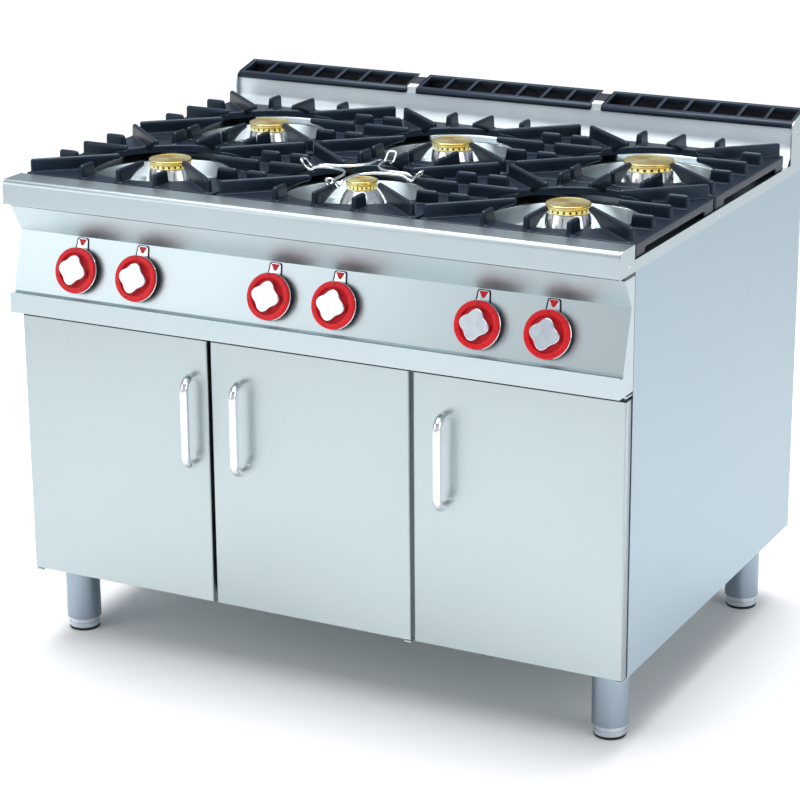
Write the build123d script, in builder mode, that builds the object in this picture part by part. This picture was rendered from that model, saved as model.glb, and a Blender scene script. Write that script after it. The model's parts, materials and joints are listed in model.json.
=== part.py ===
from build123d import *
from math import atan2, cos, degrees, hypot, radians, sin, sqrt, tan
import os

# Commercial gas range: six open burners on a cupboard base with three doors.
# Millimetres, +Z up.  The origin is on the floor under the middle of the range,
# X runs along the front from left to right and -Y is the front.

os.makedirs("parts", exist_ok=True)

# ---------------------------------------------------------------- overall sizes
width = 1200.0
depth = 900.0
hob_height = 900.0
flue_height = 970.0
cabinet_bottom = 137.0
modules = 3

# ---------------------------------------------------------------- sheet metal
sheet = 1.5
side_sheet = 1.8
screw_radius = 4.0
weld_gap = 0.1
fold_radius = 3.0

# ---------------------------------------------------------------- hob
nose_height = 46.0
nose_length = 61.0
nose_radius = 10.0
deck_drop = 28.0
side_rail_top = 26.0
cove_setback = 92.0
cove_rise = 32.0
cove_radius = 24.0
splash_setback = 65.5
splash_top_drop = 26.0
splash_bend = 20.0
bowl_hole_radius = 148.0
bowl_flange = 8.0
bowl_depth = 26.0
bowl_floor_radius = 122.0
bowl_inner_radius = 54.0
grate_end_room = 4.5

# ---------------------------------------------------------------- grates
grate_gap = 6.0
grate_plate = 6.0
grate_top = 899.0
fin_top = 924.0
fin_width = 10.0
fin_tip_radius = 92.0
fin_end_round = 9.0
opening_radius = 150.0
stub_length = 44.0
stub_offset = 78.0
fin_side_inset = 7.0
fin_end_inset = 2.0
fin_corner_inset = 10.0
arch_rise = 19.0
arch_overlap = 4.0
grate_corner_round = 6.0
skirt = 6.0
notch_length = 270.0
notch_height = 11.0
rest_clearance = 0.3

# ---------------------------------------------------------------- burners
small_cap = 28.5
medium_cap = 39.5
large_cap = 47.0
cap_top = 909.0
cap_crown = 10.0
cap_plate = 6.0
cap_side_lip = 1.0
cap_wall = 5.0
port_count = 28
port_width = 2.0
port_depth = 8.0
bell_rim_inset = 2.5
bell_radius = 47.0
bell_margin = 9.0
bell_foot_radius = 60.0
bell_foot_height = 2.0
venturi_radius = 20.0
venturi_wall = 5.0
venturi_length = 42.0

# ---------------------------------------------------------------- flue
flue_setback = 63.0
flue_back_gap = 0.5
flue_wall = 1.5
flue_slope_rise = 16.0
grille_thickness = 10.0
grille_lip = 5.0
divider_width = 20.0
grille_gap = 1.0
slots_per_grille = 7
slot_bar = 7.0
lip_round = 4.0

# ---------------------------------------------------------------- control panel
panel_top_setback = 18.0
panel_fold_setback = 51.5
panel_fold_z = 797.0
panel_foot_z = 690.0
panel_tilt = 16.0
gutter_drop = 5.0
lip_setback = 6.5
lip_bottom = 651.0
panel_back_setback = 64.0

# ---------------------------------------------------------------- knobs and taps
knob_height = 738.0
knob_spread = 64.0
knob_radius = 42.0
knob_gap = 5.5
knob_face = 18.5
knob_recess = 5.0
knob_recess_radius = 31.0
knob_ring_height = 5.0
knob_wall = 3.0
knob_boss_wall = 5.0
grip_face = 29.0
grip_corner = 28.0
grip_round = 7.0
grip_waist = 17.5
grip_waist_radius = 60.0
knob_turn = 22.0
spindle_radius = 4.0
spindle_flat_depth = 1.2
spindle_reach = 16.0
spindle_tail = 26.0
spindle_hole_gap = 2.0
push_travel = 4.0
index_bottom = 32.0
index_top = 60.0
index_half_bottom = 15.0
index_half_top = 11.5
index_round = 4.0
index_thickness = 1.0
running_clearance = 0.05
tap_radius = 13.0
tap_start = 8.0
tap_end = 59.0
tap_port = 36.0
pipe_radius = 10.7
pipe_bore = 8.2
pipe_offset = 62.0
inlet_radius = 10.48
inlet_length = 19.0
inlet_wall_gap = 4.0
manifold_end = 60.0
manifold_plug = 3.0
manifold_plug_half = 8.0
manifold_bend = 30.0
tube_radius = 4.0
tube_level = 772.0
tube_start_rise = 9.0
tube_bend = 14.0
tube_end_rise = 18.0
jet_nut_radius = 8.0
jet_nut_height = 10.0
jet_radius = 4.0
jet_bore = 1.0
jet_length = 4.0

# ---------------------------------------------------------------- doors
door_setback = 41.0
door_thickness = 20.5
door_top = 639.0
door_bottom = 139.0
door_gap = 8.0
door_side_gap = 1.0
door_sheet = 1.2
door_edge_round = 3.0
door_gap_shift = 2.0
pin_radius = 3.0
pin_inset = 7.0
pin_grip = 12.0
hinge_block_height = 26.7
hinge_block_half = 5.4
bracket_thickness = 3.0
handle_radius = 8.0
handle_bottom = 404.0
handle_top = 568.0
handle_reach = 30.0
handle_bend = 24.0
handle_insets = [31.0, 62.0, 60.0]

# ---------------------------------------------------------------- cabinet
side_front_setback = 65.5
side_back_setback = 9.0
back_panel_setback = 21.5
frame_bar = 20.0
frame_setback = 0.5
upright = 23.0
cupboard_top = 646.0
partition_thickness = 2.0
leg_side_inset = 52.5
leg_end_inset = 120.0
leg_radius = 32.5
foot_radius = 29.0
foot_clearance = 0.3
foot_shown = 24.0
foot_stem = 72.0
foot_sole = 5.0
foot_groove = 1.2
foot_round = 2.0
leg_plate = 3.0
leg_flange = 90.0

# ---------------------------------------------------------------- trivet
wire_radius = 2.25
trivet_reach = 122.0
trivet_arm = 7.8
trivet_arc = 58.0

# ---------------------------------------------------------------- worked out
half_width = width / 2
front = -depth / 2
back = depth / 2
module = width / modules
deck_top = hob_height - deck_drop
side_top = hob_height - side_rail_top
nose_bottom = hob_height - nose_height
inner_half = half_width - side_sheet
nose_back = front + nose_length
cove_start = back - cove_setback
splash_y = back - splash_setback
splash_top = flue_height - splash_top_drop
flue_front = back - flue_setback
panel_fold_y = front + panel_fold_setback
lip_front = front + lip_setback
panel_back = front + panel_back_setback
door_front = front + door_setback
door_back = door_front + door_thickness
side_front = front + side_front_setback
side_back = back - side_back_setback
back_panel_y = back - back_panel_setback
burner_pitch = (cove_start - nose_back - 2 * grate_end_room - grate_gap) / 2
burner_x = [module * (i - (modules - 1) / 2) for i in range(modules)]
front_burner_y = nose_back + grate_end_room + burner_pitch / 2
burner_y = [front_burner_y, front_burner_y + burner_pitch]
burners = [(x, y) for y in burner_y for x in burner_x]
cap_radii = [medium_cap, small_cap, medium_cap, medium_cap, medium_cap, large_cap]
flue_top_front = flue_height - flue_slope_rise
pin_y = door_front + door_thickness / 2
tilt = radians(panel_tilt)


def save(piece, name):
    """Label a finished piece and write its file."""
    piece.label = name
    export_step(piece, f"parts/{name}.step")


def block(x0, x1, y0, y1, z0, z1):
    """Add a block between two corners to the current part."""
    with Locations(((x0 + x1) / 2, (y0 + y1) / 2, (z0 + z1) / 2)):
        Box(abs(x1 - x0), abs(y1 - y0), abs(z1 - z0))


def cut_block(x0, x1, y0, y1, z0, z1):
    """Cut a block between two corners from the current part."""
    with Locations(((x0 + x1) / 2, (y0 + y1) / 2, (z0 + z1) / 2)):
        Box(abs(x1 - x0), abs(y1 - y0), abs(z1 - z0), mode=Mode.SUBTRACT)


def folded_sheet(outline, bends, thickness, x0, x1, side):
    """A bent sheet that follows a side outline of (y, z) points from x0 to x1."""
    with BuildPart() as folded:
        with BuildSketch(Plane.YZ.offset(x0)):
            with BuildLine():
                FilletPolyline(*outline, radius=bends)
                offset(amount=thickness, side=side)
            make_face()
        extrude(amount=x1 - x0)
    return folded.part


def side_plate(outline, x0, x1):
    """A flat plate of (y, z) outline between two x positions."""
    with BuildPart() as plate:
        with BuildSketch(Plane.YZ.offset(x0)):
            with BuildLine():
                Polyline(*outline, close=True)
            make_face()
        extrude(amount=x1 - x0)
    return plate.part


def panel_plane(x):
    """The plane of the sloping control panel at a knob's centre."""
    y = panel_fold_y - (panel_fold_z - knob_height) * tan(tilt)
    return Plane(origin=(x, y, knob_height), x_dir=(1, 0, 0), z_dir=(0, -cos(tilt), sin(tilt)))


def along_panel(offset_out):
    """The (y, z) of a point on a knob's axis, measured outwards from the panel."""
    origin = panel_plane(0).origin
    return origin.Y - offset_out * cos(tilt), origin.Z + offset_out * sin(tilt)


# ================================================================ cabinet
gap_left = -module / 2 - door_gap_shift
gap_right = module / 2 + door_gap_shift
door_edges = [
    (-half_width + door_side_gap, gap_left - door_gap / 2),
    (gap_left + door_gap / 2, gap_right - door_gap / 2),
    (gap_right + door_gap / 2, half_width - door_side_gap),
]
pin_x = [door_edges[0][0] + pin_inset, door_edges[1][1] - pin_inset, door_edges[2][1] - pin_inset]

joint_depth = 1.0
frame_out = half_width - side_sheet - weld_gap
frame_in = half_width - sheet - upright
frame_top = deck_top - sheet
rail_half = frame_in + joint_depth
rail_front = side_front + frame_setback
rail_back = rail_front + frame_bar
back_rail = back_panel_y - upright
bracket_half = door_side_gap + pin_inset - sheet - weld_gap
bracket_levels = [cabinet_bottom - bracket_thickness, cupboard_top - bracket_thickness]
with BuildPart() as chassis:
    for s in (-1, 1):
        x_out = s * frame_out
        x_in = s * frame_in
        block(x_out, x_in, rail_front, rail_back, cabinet_bottom, frame_top)
        block(x_out, x_in, back_rail, back_panel_y, cabinet_bottom, frame_top)
        for z1 in (cabinet_bottom + frame_bar, frame_top):
            block(x_out, x_in, rail_back - joint_depth, back_rail + joint_depth, z1 - frame_bar, z1)
    for z1 in (cabinet_bottom + frame_bar, cupboard_top + frame_bar - 5 * joint_depth):
        block(-rail_half, rail_half, rail_front, rail_back, z1 - frame_bar, z1)
    block(-rail_half, rail_half, back_rail, back_panel_y, cabinet_bottom, cabinet_bottom + frame_bar)
    block(gap_right - frame_bar / 2, gap_right + frame_bar / 2, rail_front, rail_back,
          cabinet_bottom + joint_depth, cupboard_top)
    block(-rail_half, rail_half, rail_back - joint_depth, back_panel_y - joint_depth,
          cupboard_top, cupboard_top + sheet)
    for x in pin_x:
        for z0 in bracket_levels:
            block(x - bracket_half, x + bracket_half, pin_y - pin_inset, rail_front + bracket_half,
                  z0, z0 + bracket_thickness)
            with Locations((x, pin_y, z0 + bracket_thickness / 2)):
                Cylinder(pin_radius, 2 * bracket_thickness, mode=Mode.SUBTRACT)
save(chassis.part, "chassis")

with BuildPart() as base_panel:
    tray_half = frame_in - weld_gap
    tray_back = back_rail - weld_gap
    tray_top = cabinet_bottom + frame_bar
    block(-tray_half, tray_half, rail_back + weld_gap, tray_back, cabinet_bottom, tray_top)
    offset(amount=-sheet, openings=base_panel.faces().sort_by(Axis.Z)[0])
save(base_panel.part, "base_panel")

with BuildPart() as partition:
    block(gap_right - partition_thickness / 2, gap_right + partition_thickness / 2,
          rail_back + weld_gap, tray_back, tray_top, cupboard_top)
save(partition.part, "partition")

for s, name in ((-1, "side_panel_left"), (1, "side_panel_right")):
    with BuildPart() as side_panel:
        block(s * half_width, s * (half_width - sheet), side_front, side_back, cabinet_bottom, nose_bottom)
        block(s * half_width, s * (half_width - frame_bar), side_back - sheet, side_back,
              cabinet_bottom, nose_bottom)
    save(side_panel.part, name)

inlet_x = frame_in - pipe_radius - inlet_wall_gap - joint_depth
pipe_y, pipe_z = along_panel(-pipe_offset)
with BuildPart() as back_panel:
    block(-inner_half + weld_gap, inner_half - weld_gap, back_panel_y + weld_gap,
          back_panel_y + sheet, cabinet_bottom, deck_top)
    with BuildSketch(Plane.XZ.offset(-back_panel_y - sheet)):
        with Locations((inlet_x, pipe_z)):
            Circle(pipe_radius + inlet_wall_gap)
    extrude(amount=sheet * 2, mode=Mode.SUBTRACT)
save(back_panel.part, "back_panel")

leg_x = half_width - leg_side_inset
leg_y = depth / 2 - leg_end_inset
leg_places = [(x, y) for y in (-leg_y, leg_y) for x in (-leg_x, leg_x)]
with BuildPart() as leg_tubes:
    for x, y in leg_places:
        with BuildSketch(Plane.XY.offset(foot_shown)):
            with Locations((x, y)):
                Circle(leg_radius)
                Circle(foot_radius + foot_clearance, mode=Mode.SUBTRACT)
        extrude(amount=cabinet_bottom - leg_plate - foot_shown)
        block(x - leg_flange / 2, x + leg_flange / 2, y - leg_flange / 2, y + leg_flange / 2,
              cabinet_bottom - leg_plate, cabinet_bottom)
save(leg_tubes.part, "leg_tubes")

for number, (x, y) in enumerate(leg_places, 1):
    with BuildPart() as foot:
        with BuildSketch():
            with Locations((x, y)):
                Circle(foot_radius)
        extrude(amount=foot_stem)
        fillet(foot.edges().group_by(Axis.Z)[0], radius=foot_round)
        with BuildSketch(Plane.XY.offset(foot_sole)):
            with Locations((x, y)):
                Circle(foot_radius + foot_groove)
                Circle(foot_radius - foot_groove, mode=Mode.SUBTRACT)
        extrude(amount=foot_groove, mode=Mode.SUBTRACT)
    save(foot.part, f"foot_{number}")

# ================================================================ hob
nose_return = 20.0
hob_outline = [
    (front + nose_return, nose_bottom), (front, nose_bottom), (front, hob_height), (nose_back, hob_height),
    (nose_back, deck_top), (cove_start, deck_top), (splash_y, deck_top + cove_rise), (splash_y, splash_top),
]
hob_bends = [fold_radius, nose_radius, fold_radius, fold_radius, cove_radius, splash_bend]
with BuildPart() as hob_top:
    add(folded_sheet(hob_outline, hob_bends, sheet, -inner_half + weld_gap, inner_half - weld_gap, Side.RIGHT))
    with BuildSketch(Plane.XY.offset(deck_top - 2 * sheet)):
        with Locations(*burners):
            Circle(bowl_hole_radius)
    extrude(amount=4 * sheet, mode=Mode.SUBTRACT)
save(hob_top.part, "hob_top")

screw_places = [(front + 42, hob_height - 32), (3, side_top - 12), (back - 43, flue_height - 37)]
nose_cut = nose_radius * (1 - sqrt(0.5))
horn_front = cove_start + 16
side_outline = [
    (front, nose_bottom), (front, hob_height - nose_radius), (front + nose_cut, hob_height - nose_cut),
    (front + nose_radius, hob_height), (nose_back, hob_height), (nose_back, side_top),
    (horn_front, side_top), (horn_front, flue_top_front - 22), (splash_y - 6, flue_top_front - 4),
    (flue_front, flue_top_front + 1), (back, flue_height), (back, nose_bottom),
]
with BuildPart() as hob_sides:
    for s in (-1, 1):
        add(side_plate(side_outline, s * half_width, s * (half_width - side_sheet)))
        with BuildSketch(Plane.YZ.offset(s * half_width)):
            with Locations(*screw_places):
                Circle(screw_radius)
        extrude(amount=side_sheet, both=True, mode=Mode.SUBTRACT)
save(hob_sides.part, "hob_sides")

flange_top = deck_top + sheet
bowl_floor = flange_top - bowl_depth
bowl_bends = [fold_radius, 8]
with BuildPart() as drip_bowls:
    for x, y in burners:
        with BuildSketch(Plane.XZ.offset(-y)):
            with BuildLine():
                FilletPolyline((x + bowl_hole_radius + bowl_flange, flange_top),
                               (x + bowl_hole_radius - fold_radius, flange_top),
                               (x + bowl_floor_radius, bowl_floor),
                               (x + bowl_inner_radius, bowl_floor), radius=bowl_bends)
                offset(amount=sheet, side=Side.LEFT)
            make_face()
        revolve(axis=Axis((x, y, 0), (0, 0, 1)))
save(drip_bowls.part, "drip_bowls")

# ================================================================ grates
plate_bottom = grate_top - grate_plate
skirt_foot = deck_top + rest_clearance
grate_half_x = module / 2 - grate_gap / 2
grate_half_y = burner_pitch / 2 - grate_gap / 2


def fin(outer, inner, heading, sideways=0.0, arched=True):
    """One upright fin that points at the burner, from its outer end to its tip."""
    turn = radians(heading)
    across = Vector(sin(turn), -cos(turn), 0)
    plane = Plane(origin=across * sideways, x_dir=(cos(turn), sin(turn), 0), z_dir=across)
    root_z = grate_top - grate_plate / 2
    arch_start = (opening_radius + arch_overlap, plate_bottom - grate_plate)
    tip_foot = (inner, fin_top - fin_width)
    with BuildPart() as one_fin:
        with BuildSketch(plane):
            with BuildLine():
                Polyline(tip_foot, (inner, fin_top), (outer, fin_top), (outer, root_z))
                if arched:
                    Polyline((outer, root_z), (arch_start[0], root_z), arch_start)
                    ThreePointArc(arch_start, ((inner + opening_radius) / 2, fin_top - arch_rise), tip_foot)
                else:
                    Polyline((outer, root_z), (inner, root_z), tip_foot)
            make_face()
            fillet(vertices().group_by(Axis.Y)[-1], radius=fin_end_round)
        extrude(amount=fin_width / 2, both=True)
    return one_fin.part


with BuildPart() as grate:
    block(-grate_half_x, grate_half_x, -grate_half_y, grate_half_y, skirt_foot, grate_top)
    fillet(grate.edges().filter_by(Axis.Z), radius=grate_corner_round)
    cut_block(-grate_half_x + skirt, grate_half_x - skirt, -grate_half_y + skirt, grate_half_y - skirt,
              skirt_foot - 1, plate_bottom)
    cut_block(-grate_half_x - 1, grate_half_x + 1, -notch_length / 2, notch_length / 2,
              skirt_foot - 1, skirt_foot + notch_height)
    cut_block(-notch_length / 2, notch_length / 2, -grate_half_y - 1, grate_half_y + 1,
              skirt_foot - 1, skirt_foot + notch_height)
    with BuildSketch(Plane.XY.offset(plate_bottom)):
        Circle(opening_radius)
    extrude(amount=grate_plate, mode=Mode.SUBTRACT)
    corner_heading = degrees(atan2(grate_half_y, grate_half_x))
    corner_reach = hypot(grate_half_x, grate_half_y) - fin_corner_inset
    for heading in (0, 90, 180, 270):
        along = grate_half_x - fin_side_inset if heading % 180 == 0 else grate_half_y - fin_end_inset
        add(fin(along, fin_tip_radius, heading))
        for sideways in (-stub_offset, stub_offset):
            add(fin(along, along - stub_length, heading, sideways, arched=False))
    for heading in (corner_heading, 180 - corner_heading, 180 + corner_heading, 360 - corner_heading):
        add(fin(corner_reach, fin_tip_radius, heading))

for number, (x, y) in enumerate(burners, 1):
    save(Pos(x, y, 0) * grate.part, f"grate_{number}")

# ================================================================ trivet on the small burner
trivet_level = fin_top + wire_radius + weld_gap
with BuildPart() as trivet:
    with BuildLine() as trivet_path:
        for quarter in range(4):
            with BuildLine(Plane.XY.offset(trivet_level).rotated((0, 0, 90 * quarter)), mode=Mode.ADD):
                tip = trivet_reach - wire_radius - trivet_arm
                CenterArc((tip, 0), trivet_arm, -90, 180)
                Line((tip, trivet_arm), (trivet_arc + trivet_arm, trivet_arm))
                CenterArc((trivet_arc + trivet_arm, trivet_arc + trivet_arm), trivet_arc, 180, 90)
                Line((trivet_arm, trivet_arc + trivet_arm), (trivet_arm, tip))
    path = trivet_path.wires()[0]
    with BuildSketch(Plane(origin=path @ 0, z_dir=path % 0)):
        Circle(wire_radius)
    sweep(path=path)
trivet_x, trivet_y = burners[1]
save(Pos(trivet_x, trivet_y, 0) * trivet.part, "trivet")

# ================================================================ burners
body_top = cap_top - cap_plate - cap_crown
venturi_bore = venturi_radius - venturi_wall
bell_foot_top = bowl_floor + bell_foot_height
wall_top = (body_top + bell_foot_top) / 2
with BuildPart() as burner_bodies:
    for (x, y), radius in zip(burners, cap_radii):
        rim = radius - bell_rim_inset
        wall = max(bell_radius, rim + bell_margin)
        shoulder = (rim + 3 * wall) / 4
        with BuildSketch(Plane.XZ.offset(-y)):
            with BuildLine():
                Line((x + venturi_bore, body_top), (x + rim, body_top))
                ThreePointArc((x + rim, body_top), (x + shoulder, (body_top + wall_top) / 2),
                              (x + wall, wall_top))
                Polyline((x + wall, wall_top), (x + wall, bell_foot_top),
                         (x + bell_foot_radius, bell_foot_top), (x + bell_foot_radius, bowl_floor),
                         (x + venturi_radius, bowl_floor), (x + venturi_radius, bowl_floor - venturi_length),
                         (x + venturi_bore, bowl_floor - venturi_length), (x + venturi_bore, body_top))
            make_face()
        revolve(axis=Axis((x, y, 0), (0, 0, 1)))
save(burner_bodies.part, "burner_bodies")

for number, ((x, y), radius) in enumerate(zip(burners, cap_radii), 1):
    with BuildPart() as burner_cap:
        with BuildSketch(Plane.XY.offset(body_top + weld_gap)):
            Circle(radius - cap_side_lip)
        extrude(amount=cap_crown)
        with BuildSketch(Plane.XY.offset(cap_top - cap_plate)):
            Circle(radius)
        extrude(amount=cap_plate)
        fillet(burner_cap.edges().group_by(Axis.Z)[-1], radius=1.5)
        with BuildSketch(Plane.XY.offset(body_top - 1)):
            Circle(radius - cap_side_lip - cap_wall)
        extrude(amount=cap_crown, mode=Mode.SUBTRACT)
        with BuildSketch(Plane.XY.offset(body_top - port_width)):
            Circle(venturi_bore - foot_clearance)
            Circle(venturi_bore - fold_radius, mode=Mode.SUBTRACT)
        extrude(amount=cap_crown + port_width)
        with BuildSketch(Plane.XY.offset(body_top + port_width)):
            with PolarLocations(radius - cap_side_lip - cap_wall / 2, port_count):
                Rectangle(port_depth, port_width)
        extrude(amount=cap_crown - 2 * port_width, mode=Mode.SUBTRACT)
    save(Pos(x, y, 0) * burner_cap.part, f"burner_cap_{number}")

# ================================================================ flue
slope = flue_slope_rise / (back - splash_y)


def slope_z(y):
    """Height of the grilles' top face at a distance from the front."""
    return flue_height - (back - y) * slope


divider_x = [-module / 2, module / 2]
flue_bottom = deck_top + weld_gap
housing_half = inner_half - weld_gap
housing_back = back - flue_back_gap
bays = [(-housing_half, divider_x[0]), (divider_x[0], divider_x[1]), (divider_x[1], housing_half)]
with BuildPart() as flue_housing:
    seat = grille_thickness + weld_gap
    add(side_plate([(flue_front, flue_bottom), (flue_front, slope_z(flue_front) - seat),
                    (housing_back, slope_z(housing_back) - seat), (housing_back, flue_bottom)],
                   -housing_half, housing_half))
    for x in divider_x:
        add(side_plate([(flue_front, flue_bottom), (flue_front, slope_z(flue_front)),
                        (housing_back, slope_z(housing_back)), (housing_back, flue_bottom)],
                       x - divider_width / 2, x + divider_width / 2))
    for left, right in bays:
        left_wall = flue_wall if left == -housing_half else divider_width / 2
        right_wall = flue_wall if right == housing_half else divider_width / 2
        cut_block(left + left_wall, right - right_wall, flue_front + flue_wall, housing_back - flue_wall,
                  flue_bottom - 1, flue_height)
save(flue_housing.part, "flue_housing")

for number, (left, right) in enumerate(bays, 1):
    x0 = left + (grille_gap if left == -housing_half else divider_width / 2 + grille_gap)
    x1 = right - (grille_gap if right == housing_half else divider_width / 2 + grille_gap)
    grille_front = splash_y + sheet - grille_lip
    with BuildPart() as flue_grille:
        with BuildSketch(Plane.YZ.offset(x0)):
            with BuildLine():
                Polyline((grille_front, slope_z(grille_front) - grille_thickness + weld_gap),
                         (grille_front, slope_z(grille_front)), (housing_back, slope_z(housing_back)),
                         (housing_back, slope_z(housing_back) - grille_thickness),
                         (flue_front, slope_z(flue_front) - grille_thickness), close=True)
            make_face()
        extrude(amount=x1 - x0)
        front_edge = flue_grille.edges().filter_by(Axis.X).group_by(Axis.Y)[0].sort_by(Axis.Z)[-1]
        fillet(front_edge, radius=lip_round)
        slot_pitch = (x1 - x0 - slot_bar) / slots_per_grille
        with BuildSketch(Plane.XY.offset(flue_top_front - 2 * grille_thickness)):
            with Locations(((x0 + x1) / 2, (flue_front + housing_back) / 2 + flue_wall)):
                with GridLocations(slot_pitch, 1, slots_per_grille, 1):
                    Rectangle(slot_pitch - slot_bar, housing_back - flue_front - 2 * slot_bar)
        extrude(amount=flue_height, mode=Mode.SUBTRACT)
    save(flue_grille.part, f"flue_grille_{number}")

# ================================================================ control panel
foot_y = panel_fold_y - (panel_fold_z - panel_foot_z) * tan(tilt)
panel_outline = [
    (panel_back, nose_bottom - weld_gap), (front + panel_top_setback, nose_bottom - weld_gap),
    (panel_fold_y, panel_fold_z), (foot_y, panel_foot_z), (foot_y + sheet, panel_foot_z - gutter_drop),
    (lip_front + fold_radius, panel_foot_z - gutter_drop), (lip_front, panel_foot_z - sheet),
    (lip_front, lip_bottom), (panel_back, lip_bottom),
]
panel_hole_depth = 10.0
knob_x = sorted(x + s * knob_spread for x in burner_x for s in (-1, 1))
with BuildPart() as control_panel:
    add(side_plate(panel_outline, -half_width, half_width))
    offset(amount=-sheet, openings=control_panel.faces().sort_by(Axis.Y)[-1])
    for x in knob_x:
        with BuildSketch(panel_plane(x)):
            Circle(spindle_radius + spindle_hole_gap)
        extrude(amount=panel_hole_depth, both=True, mode=Mode.SUBTRACT)
save(control_panel.part, "control_panel")

with BuildPart() as index_plates:
    for x in knob_x:
        with BuildSketch(panel_plane(x).offset(weld_gap / 2)):
            with BuildLine():
                Polyline((-index_half_bottom, index_bottom), (-index_half_top, index_top),
                         (index_half_top, index_top), (index_half_bottom, index_bottom), close=True)
            make_face()
            fillet(vertices().group_by(Axis.Y)[-1], radius=index_round)
        extrude(amount=index_thickness)
save(index_plates.part, "index_plates")

# ================================================================ knobs, taps and pipes


def d_profile(radius, flat):
    """A round shaft section with one flat."""
    Circle(radius)
    with Locations((flat + radius, 0)):
        Rectangle(2 * radius, 2 * radius, mode=Mode.SUBTRACT)


spindle_flat = spindle_radius - spindle_flat_depth
for number, x in enumerate(knob_x, 1):
    with BuildPart() as tap_spindle:
        with BuildSketch(panel_plane(x).offset(-tap_start - spindle_tail)):
            Circle(spindle_radius)
        extrude(amount=spindle_tail + tap_start)
        with BuildSketch(panel_plane(x)):
            d_profile(spindle_radius, spindle_flat)
        extrude(amount=spindle_reach)
    save(tap_spindle.part, f"tap_spindle_{number}")

    with BuildPart() as knob:
        plane = panel_plane(x)
        with BuildSketch(plane.offset(knob_gap)):
            Circle(knob_radius - knob_wall / 3)
        extrude(amount=knob_face - knob_gap)
        with BuildSketch(plane.offset(knob_face - knob_ring_height)):
            Circle(knob_radius)
        extrude(amount=knob_ring_height)
        with BuildSketch(plane.offset(knob_face - knob_recess)):
            Circle(knob_recess_radius)
        extrude(amount=knob_recess, mode=Mode.SUBTRACT)
        with BuildSketch(plane.offset(knob_gap)):
            Circle(knob_radius - knob_wall - knob_wall / 3)
            Circle(spindle_radius + knob_boss_wall, mode=Mode.SUBTRACT)
        extrude(amount=knob_face - knob_recess - knob_gap - knob_wall, mode=Mode.SUBTRACT)
        with BuildSketch(plane.offset(knob_face - knob_recess)):
            with Locations(Location((0, 0, 0), (0, 0, knob_turn))):
                Rectangle(sqrt(2) * grip_corner, sqrt(2) * grip_corner)
                fillet(vertices(), radius=grip_round)
                with PolarLocations(grip_waist + grip_waist_radius, 4):
                    Circle(grip_waist_radius, mode=Mode.SUBTRACT)
        extrude(amount=grip_face - knob_face + knob_recess)
        with BuildSketch(plane.offset(knob_gap)):
            d_profile(spindle_radius + running_clearance, spindle_flat + running_clearance)
        extrude(amount=spindle_reach - knob_gap + push_travel + spindle_flat_depth, mode=Mode.SUBTRACT)
    save(knob.part, f"knob_{number}")

with BuildPart() as gas_taps:
    for x in knob_x:
        tube_y, tube_z = along_panel(-tap_port)
        with BuildSketch(panel_plane(x).offset(-tap_end)):
            Circle(tap_radius)
        extrude(amount=tap_end - tap_start)
        with BuildSketch(panel_plane(x).offset(-tap_start - spindle_tail - spindle_hole_gap)):
            Circle(spindle_radius + running_clearance)
        extrude(amount=spindle_tail + tap_start, mode=Mode.SUBTRACT)
        with BuildSketch(Plane.XY.offset(tube_z + tube_start_rise)):
            with Locations((x, tube_y)):
                Circle(tube_radius)
        extrude(amount=2 * tap_radius, mode=Mode.SUBTRACT)
    with BuildSketch(Plane.YZ.offset(-half_width)):
        with Locations((pipe_y, pipe_z)):
            Circle(pipe_radius)
    extrude(amount=width, mode=Mode.SUBTRACT)
save(gas_taps.part, "gas_taps")

manifold_start = knob_x[0] - manifold_end
inlet_face = back - flue_back_gap
with BuildPart() as gas_manifold:
    with BuildLine() as manifold_path:
        FilletPolyline((manifold_start, pipe_y, pipe_z), (inlet_x, pipe_y, pipe_z),
                       (inlet_x, inlet_face - inlet_length, pipe_z), radius=manifold_bend)
    with BuildSketch(Plane(origin=manifold_path.line @ 0, z_dir=manifold_path.line % 0)):
        Circle(pipe_radius)
        Circle(pipe_bore, mode=Mode.SUBTRACT)
    sweep(path=manifold_path.line)
    block(manifold_start - manifold_plug, manifold_start, pipe_y - manifold_plug_half, pipe_y + manifold_plug_half,
          pipe_z - manifold_plug_half, pipe_z + manifold_plug_half)
    with BuildSketch(Plane.XZ.offset(inlet_length - inlet_face)):
        with Locations((inlet_x, pipe_z)):
            Circle(inlet_radius)
            Circle(pipe_bore, mode=Mode.SUBTRACT)
    extrude(amount=-inlet_length)
save(gas_manifold.part, "gas_manifold")

with BuildPart() as supply_tubes:
    for x in knob_x:
        column = min(range(modules), key=lambda i: abs(burner_x[i] - x))
        target_x = burner_x[column]
        target_y = burner_y[1] if x < target_x else burner_y[0]
        tube_y, tube_z = along_panel(-tap_port)
        nut_level = tube_level + tube_end_rise - weld_gap
        with BuildLine() as tube_path:
            FilletPolyline((x, tube_y, tube_z + tube_start_rise), (x, tube_y, tube_level),
                           (x, target_y, tube_level), (target_x, target_y, tube_level),
                           (target_x, target_y, tube_level + tube_end_rise), radius=tube_bend)
        with BuildSketch(Plane(origin=tube_path.line @ 0, z_dir=tube_path.line % 0)):
            Circle(tube_radius)
        sweep(path=tube_path.line)
        with BuildSketch(Plane.XY.offset(nut_level)):
            with Locations((target_x, target_y)):
                RegularPolygon(radius=jet_nut_radius, side_count=6)
        extrude(amount=jet_nut_height)
        with BuildSketch(Plane.XY.offset(nut_level + jet_nut_height)):
            with Locations((target_x, target_y)):
                Circle(jet_radius)
                Circle(jet_bore, mode=Mode.SUBTRACT)
        extrude(amount=jet_length)
save(supply_tubes.part, "supply_tubes")

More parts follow.
